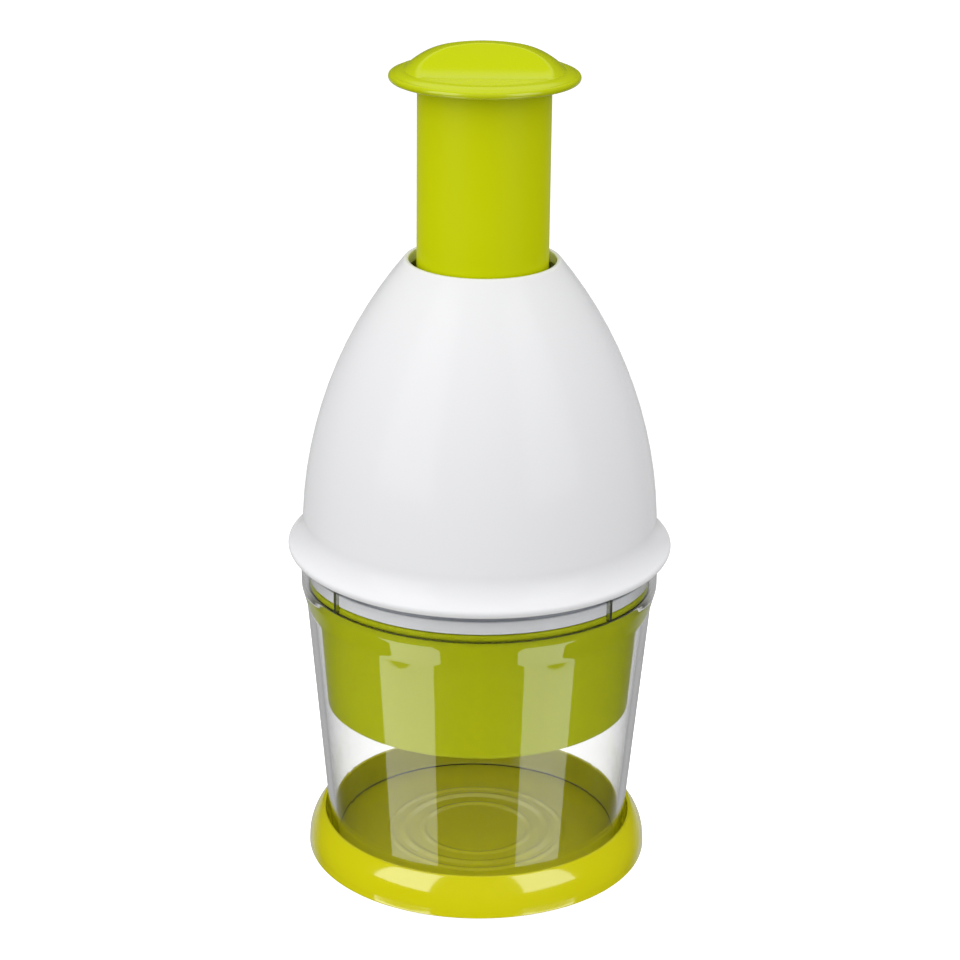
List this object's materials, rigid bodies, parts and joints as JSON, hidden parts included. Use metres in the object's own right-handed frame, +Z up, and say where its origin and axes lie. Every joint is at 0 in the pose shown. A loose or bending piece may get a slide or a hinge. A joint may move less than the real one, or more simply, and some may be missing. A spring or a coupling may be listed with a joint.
{
  "type": "plunger food chopper",
  "caption": "Hand chopper: domed white housing on a clear cup and green tray; a sprung green plunger presses and turns zigzag blades.",
  "frame": {"origin": "centre of the base tray's underside, on the surface it stands on", "axes": "+Z up along the plunger's axis, -Y towards the viewer, +X to the viewer's right"},
  "size_m": [0.1012, 0.1012, 0.2209],
  "materials": {
    "green_tray": "glossy yellow-green moulded plastic",
    "green_plastic": "satin lime green moulded plastic",
    "white_housing": "glossy white moulded plastic",
    "white_inner": "matte white moulded plastic",
    "clear_cup": "clear glossy plastic",
    "nylon": "natural nylon",
    "steel_fastener": "zinc plated steel",
    "spring_steel": "drawn spring steel",
    "steel_rod": "turned stainless steel",
    "blade_steel": "ground stainless steel sheet"
  },
  "bodies": {
    "base": {"base_tray": "green_tray"},
    "cup": {"clear_cup": "clear_cup"},
    "head": {"bell_housing": "white_housing", "guide_tube": "white_inner", "index_nut": "nylon", "deck_screws": "steel_fastener", "blade_sleeve": "green_plastic", "wiper_snap_ring": "white_inner", "return_spring": "spring_steel"},
    "plunger": {"plunger_tube": "green_plastic", "plunger_knob": "green_plastic", "knob_screws": "steel_fastener", "spring_cap": "nylon", "rod_bearing": "nylon"},
    "rotor": {"push_rod": "steel_rod", "thrust_washer": "nylon", "rod_circlip": "spring_steel", "blade_hub": "steel_rod", "hub_screws": "steel_fastener", "blade_carrier": "blade_steel", "zigzag_blade_1": "blade_steel", "zigzag_blade_2": "blade_steel", "zigzag_blade_3": "blade_steel"},
    "wiper": {"wiper_disc": "white_inner"}
  },
  "joints": [
    {"name": "cup_lift", "type": "slide", "parent": "base", "child": "cup", "axis": [0, 0, 1], "range_m": [0, 0.02]},
    {"name": "head_lift", "type": "slide", "parent": "cup", "child": "head", "axis": [0, 0, 1], "range_m": [0, 0.05]},
    {"name": "plunger_press", "type": "slide", "parent": "head", "child": "plunger", "axis": [0, 0, -1], "range_m": [0, 0.041], "stiffness_N_per_m": 260, "springref_m": -0.025, "deforming": ["return_spring"]},
    {"name": "blade_turn", "type": "hinge", "parent": "plunger", "child": "rotor", "pos_m": [0, 0, 0.09], "axis": [0, 0, 1], "range_deg": [0, 30]},
    {"name": "wiper_turn", "type": "hinge", "parent": "head", "child": "wiper", "pos_m": [0, 0, 0.046], "axis": [0, 0, 1], "range_deg": [0, 30]}
  ],
  "couplings": [
    {"joint": "blade_turn", "follows": "plunger_press", "rad_per_m": 12.77},
    {"joint": "wiper_turn", "follows": "plunger_press", "rad_per_m": 12.77}
  ]
}
